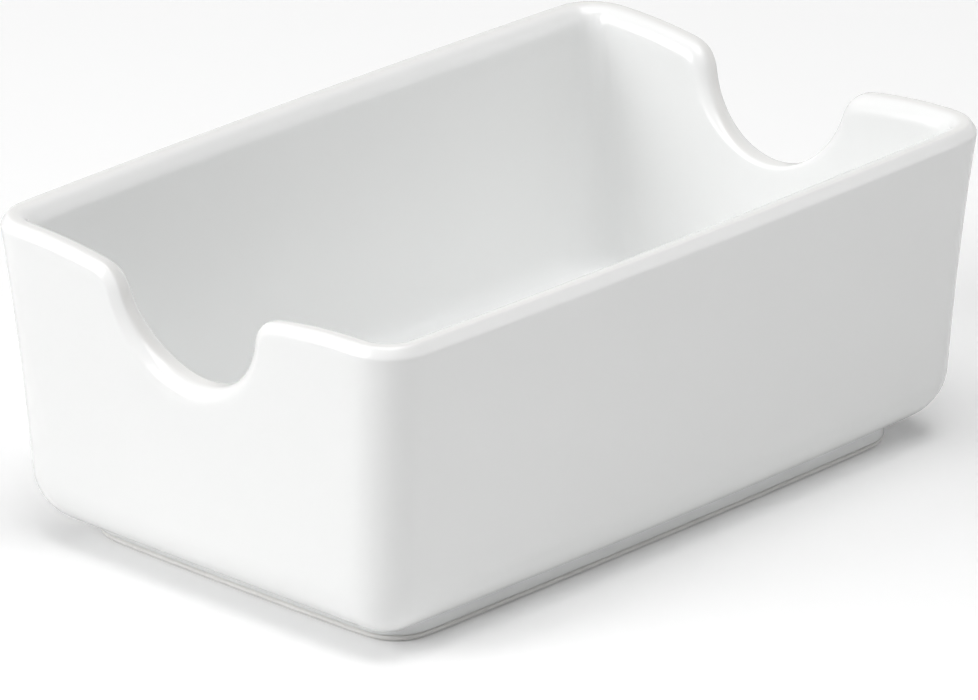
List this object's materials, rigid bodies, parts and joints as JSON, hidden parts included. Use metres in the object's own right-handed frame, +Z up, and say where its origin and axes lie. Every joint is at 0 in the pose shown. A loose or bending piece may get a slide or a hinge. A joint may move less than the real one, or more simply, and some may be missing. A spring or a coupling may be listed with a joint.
{
  "type": "sugar packet holder",
  "caption": "White glazed porcelain tub with leaning walls, rounded corners, a finger notch in each short wall and a low foot ring, for holding sugar packets on a table.",
  "frame": {"origin": "on the table under the middle of the tub", "axes": "+X along the long walls towards one short wall, +Y across to the other long wall, +Z up out of the open top"},
  "size_m": [0.1144, 0.075, 0.0446],
  "materials": {
    "bare_porcelain": "matte",
    "white_glaze": "gloss"
  },
  "bodies": {
    "root": {"porcelain_body": "bare_porcelain", "glaze_coat": "white_glaze", "underside_glaze": "white_glaze"}
  },
  "joints": []
}
